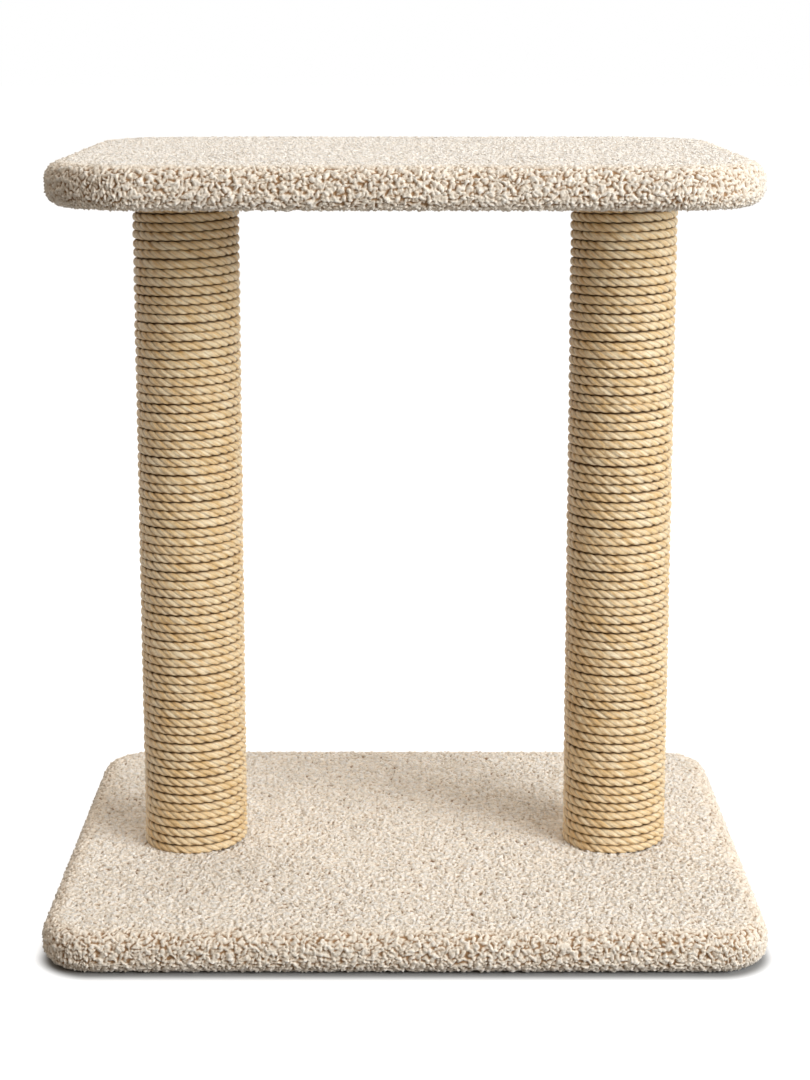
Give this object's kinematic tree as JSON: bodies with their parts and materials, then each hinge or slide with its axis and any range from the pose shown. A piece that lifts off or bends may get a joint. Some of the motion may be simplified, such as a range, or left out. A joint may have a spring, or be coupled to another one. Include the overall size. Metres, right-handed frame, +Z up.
{
  "type": "cat scratching post",
  "caption": "Cat scratching post: rope-wound posts stand side by side on a carpeted base and carry a carpeted platform with rounded corners.",
  "frame": {"origin": "on the floor, under the middle of the base", "axes": "+X along the width from the left post to the right post, +Y from the front to the back, +Z up"},
  "size_m": [0.5, 0.4, 0.544],
  "materials": {
    "carpet": "cream looped pile",
    "board": "raw particle board",
    "rope": "natural sisal, three strands",
    "cardboard": "spiral-wound brown paper tube",
    "plug_wood": "turned pine",
    "zinc_steel": "zinc plated",
    "staple_steel": "drawn wire"
  },
  "bodies": {
    "root": {"base_carpet": "carpet", "platform_carpet": "carpet", "platform_lining": "carpet", "base_board": "board", "platform_board": "board", "left_post_rope": "rope", "right_post_rope": "rope", "left_post_tube": "cardboard", "right_post_tube": "cardboard", "left_post_bottom_plug": "plug_wood", "right_post_bottom_plug": "plug_wood", "left_post_top_plug": "plug_wood", "right_post_top_plug": "plug_wood", "left_post_bottom_tee_nut": "zinc_steel", "right_post_bottom_tee_nut": "zinc_steel", "left_post_top_tee_nut": "zinc_steel", "right_post_top_tee_nut": "zinc_steel", "left_platform_tee_nut": "zinc_steel", "right_platform_tee_nut": "zinc_steel", "left_platform_stud": "zinc_steel", "right_platform_stud": "zinc_steel", "left_base_bolt": "zinc_steel", "right_base_bolt": "zinc_steel", "left_base_washer": "zinc_steel", "right_base_washer": "zinc_steel", "base_staples": "staple_steel", "platform_staples": "staple_steel", "left_post_rope_brads": "staple_steel", "right_post_rope_brads": "staple_steel", "left_post_plug_pins": "staple_steel", "right_post_plug_pins": "staple_steel"}
  },
  "joints": []
}
